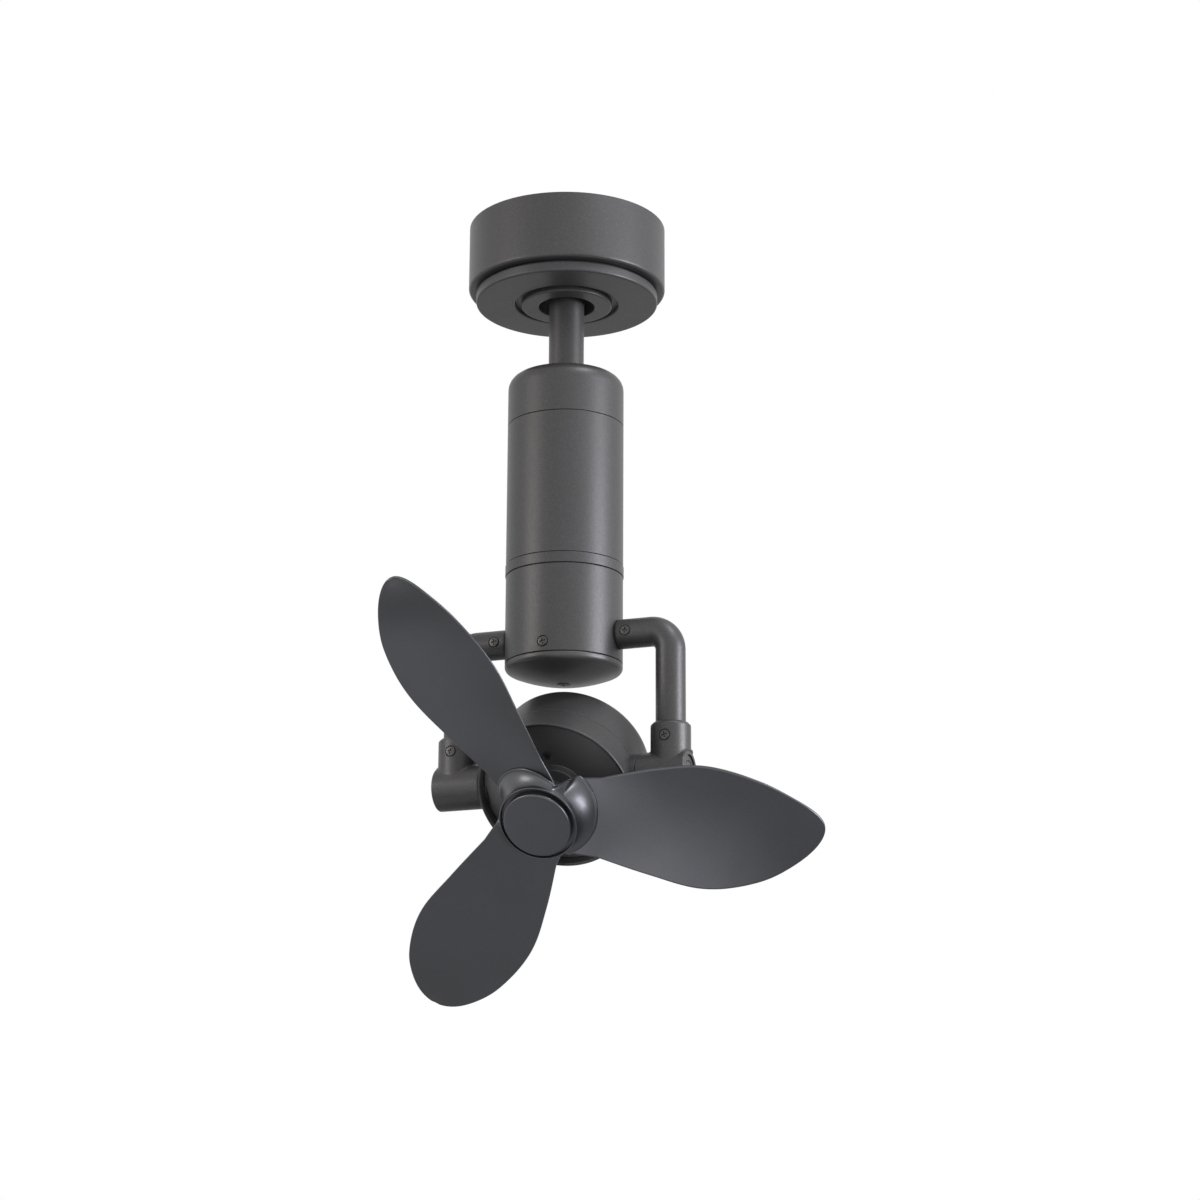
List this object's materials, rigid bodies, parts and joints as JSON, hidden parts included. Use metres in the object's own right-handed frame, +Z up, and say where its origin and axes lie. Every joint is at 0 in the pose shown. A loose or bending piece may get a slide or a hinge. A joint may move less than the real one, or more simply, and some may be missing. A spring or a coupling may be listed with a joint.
{
  "type": "orbital ceiling fan",
  "caption": "Small ceiling fan on a downrod: a bladed head tilts in a yoke that turns slowly under a tubular housing, so the air sweeps in a circle.",
  "frame": {"origin": "middle of the ceiling bracket's top face, where it meets the ceiling", "axes": "+Z up out of the ceiling face; +X along the head's tilt axis; the head faces -Y and down at rest"},
  "size_m": [0.3353, 0.2309, 0.5838],
  "materials": {
    "painted_steel": "satin metallic paint",
    "blade_plastic": "fine satin",
    "plain_steel": "plain",
    "black_plastic": "moulded",
    "white_nylon": "moulded",
    "brass": "machined",
    "copper_wire": "enamelled wire"
  },
  "bodies": {
    "ceiling_mount": {"ceiling_bracket": "plain_steel", "canopy_shell": "painted_steel", "canopy_cover_ring": "painted_steel", "canopy_screw_left": "plain_steel", "canopy_screw_right": "plain_steel"},
    "hanger": {"hanger_ball": "white_nylon", "ball_cross_pin": "plain_steel", "downrod": "painted_steel", "rod_coupling": "plain_steel", "coupling_bolt": "plain_steel", "housing_top_cap": "painted_steel", "housing_tube": "painted_steel", "housing_base": "painted_steel", "bearing_bridge": "plain_steel", "upper_bearing": "plain_steel", "lower_bearing": "plain_steel", "orbit_gearmotor": "plain_steel", "slip_ring": "black_plastic"},
    "pinion": {"drive_pinion": "brass"},
    "yoke": {"orbit_shaft": "plain_steel", "orbit_gear": "white_nylon", "yoke_hub": "painted_steel", "yoke_cross_tube": "plain_steel", "dome_cap": "painted_steel", "dome_screw": "painted_steel", "cap_screw_front": "plain_steel", "yoke_arm_left": "painted_steel", "yoke_arm_right": "painted_steel", "arm_screw_left": "plain_steel", "arm_screw_right": "plain_steel", "arm_tee_left": "painted_steel", "arm_tee_right": "painted_steel", "tee_screw_left": "plain_steel", "tee_screw_right": "plain_steel", "pivot_cap_left": "painted_steel", "pivot_cap_right": "painted_steel"},
    "head": {"trunnion_left": "painted_steel", "trunnion_right": "painted_steel", "motor_rear_shell": "painted_steel", "motor_front_ring": "painted_steel", "motor_front_plate": "painted_steel", "plate_screw_1": "plain_steel", "plate_screw_2": "plain_steel", "plate_screw_3": "plain_steel", "motor_end_bell": "plain_steel", "stator_core": "plain_steel", "stator_winding": "copper_wire", "front_bearing": "plain_steel", "rear_bearing": "plain_steel"},
    "propeller": {"motor_axle": "plain_steel", "motor_rotor": "plain_steel", "propeller_hub": "blade_plastic", "blade_1": "blade_plastic", "blade_2": "blade_plastic", "blade_3": "blade_plastic", "blade_screw_1": "plain_steel", "blade_screw_2": "plain_steel", "blade_screw_3": "plain_steel", "hub_cap": "blade_plastic", "hub_nut": "plain_steel"}
  },
  "joints": [
    {"name": "hanger_swing", "type": "hinge", "parent": "ceiling_mount", "child": "hanger", "pos_m": [0, 0, -0.027], "axis": [1, 0, 0], "range_deg": [-7, 7]},
    {"name": "yoke_orbit", "type": "hinge", "parent": "hanger", "child": "yoke", "pos_m": [0, 0, -0.3], "axis": [0, 0, 1], "continuous": true},
    {"name": "pinion_spin", "type": "hinge", "parent": "hanger", "child": "pinion", "pos_m": [0, 0.027, -0.26], "axis": [0, 0, 1], "continuous": true},
    {"name": "head_tilt", "type": "hinge", "parent": "yoke", "child": "head", "pos_m": [0, 0, -0.433], "axis": [1, 0, 0], "range_deg": [-28, 128]},
    {"name": "propeller_spin", "type": "hinge", "parent": "head", "child": "propeller", "pos_m": [0, 0, -0.433], "axis": [0, -0.7683, -0.6401], "continuous": true}
  ],
  "couplings": [
    {"joint": "pinion_spin", "follows": "yoke_orbit", "ratio": -3.5}
  ]
}
